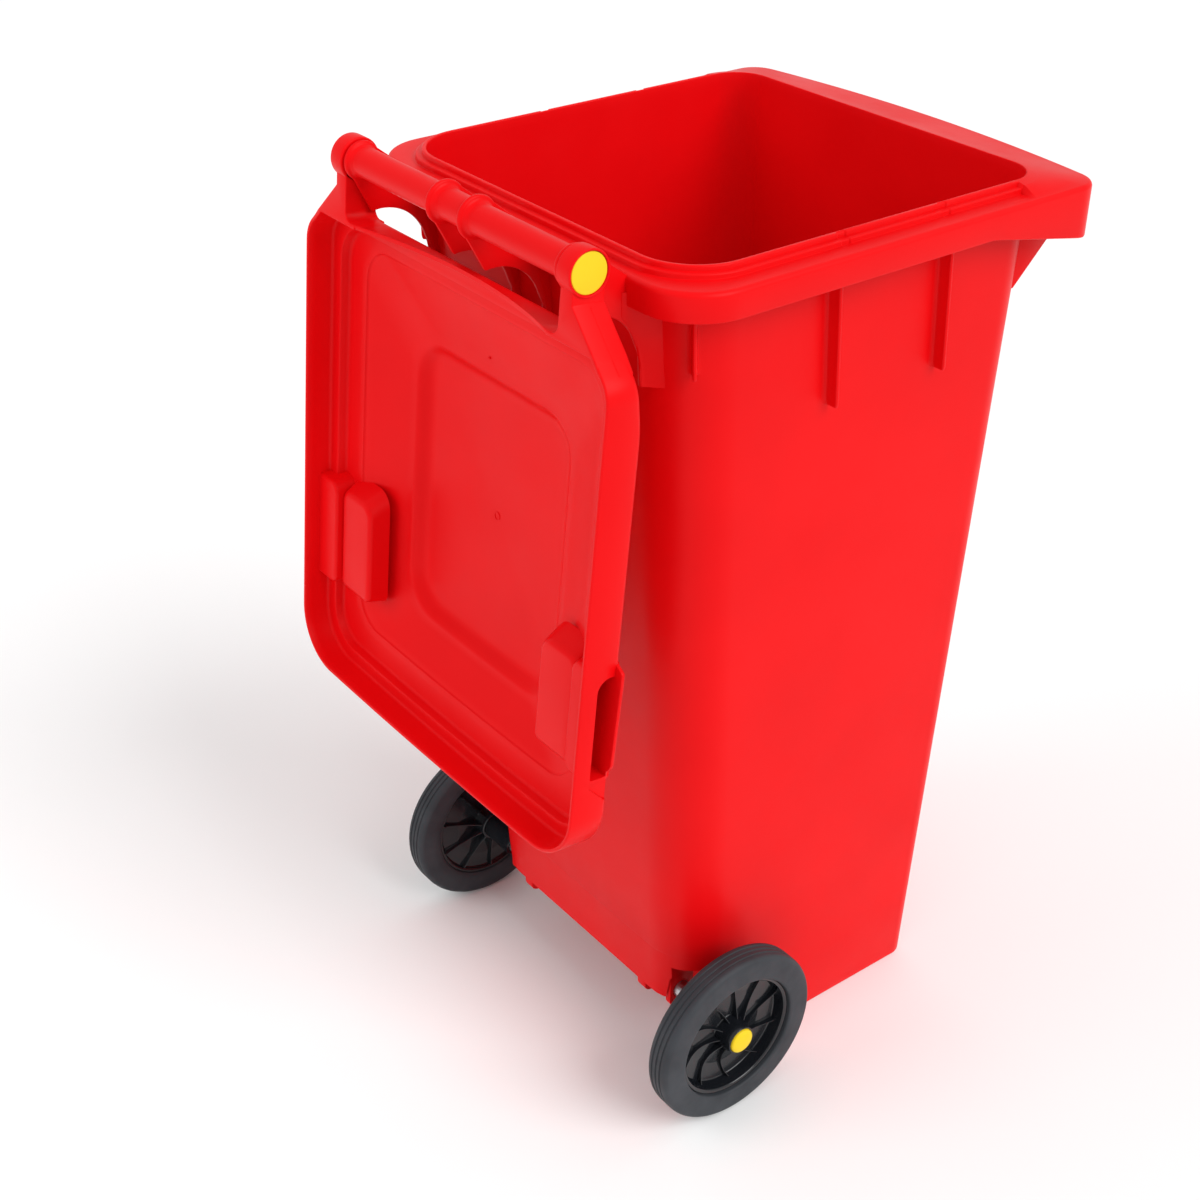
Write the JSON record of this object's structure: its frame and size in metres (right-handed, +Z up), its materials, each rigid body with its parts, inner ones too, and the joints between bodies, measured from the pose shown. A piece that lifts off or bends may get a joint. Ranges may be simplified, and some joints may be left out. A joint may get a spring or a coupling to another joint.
{
  "type": "wheeled refuse bin",
  "caption": "Wheeled refuse bin with a tapered plastic tub, front lifting comb, rear handle bar, swinging domed lid with side finger grips, and wheels on a steel axle.",
  "frame": {"origin": "on the ground under the tub, on the tub's flat base, in the middle of its width", "axes": "+X across the bin to the left as seen from behind the handle, +Y to the rear where the handle and wheels are, +Z up"},
  "size_m": [0.4972, 0.6294, 0.9803],
  "materials": {
    "red_plastic": "satin moulded polyethylene, fine grain",
    "yellow_plastic": "satin",
    "black_plastic": "gloss",
    "tyre_rubber": "matte dark grey rubber",
    "zinc_steel": "zinc plated",
    "bearing_nylon": "natural nylon"
  },
  "bodies": {
    "root": {"tub": "red_plastic", "axle": "zinc_steel", "hinge_pin_left": "yellow_plastic", "hinge_pin_right": "yellow_plastic", "axle_spacer_left": "black_plastic", "axle_spacer_right": "black_plastic", "thrust_washer_left": "zinc_steel", "thrust_washer_right": "zinc_steel", "lock_ring_left": "zinc_steel", "lock_ring_right": "zinc_steel"},
    "lid": {"lid": "red_plastic"},
    "wheel_left": {"tyre_left": "tyre_rubber", "wheel_centre_left": "black_plastic", "wheel_bush_left": "bearing_nylon", "hub_cap_left": "yellow_plastic"},
    "wheel_right": {"tyre_right": "tyre_rubber", "wheel_centre_right": "black_plastic", "wheel_bush_right": "bearing_nylon", "hub_cap_right": "yellow_plastic"}
  },
  "joints": [
    {"name": "lid_hinge", "type": "hinge", "parent": "root", "child": "lid", "pos_m": [0, 0.2766, 0.9599], "axis": [1, 0, 0], "range_deg": [-10, 264.7]},
    {"name": "wheel_left_spin", "type": "hinge", "parent": "root", "child": "wheel_left", "pos_m": [0, 0.1234, 0.1], "axis": [1, 0, 0], "continuous": true},
    {"name": "wheel_right_spin", "type": "hinge", "parent": "root", "child": "wheel_right", "pos_m": [0, 0.1234, 0.1], "axis": [1, 0, 0], "continuous": true}
  ]
}
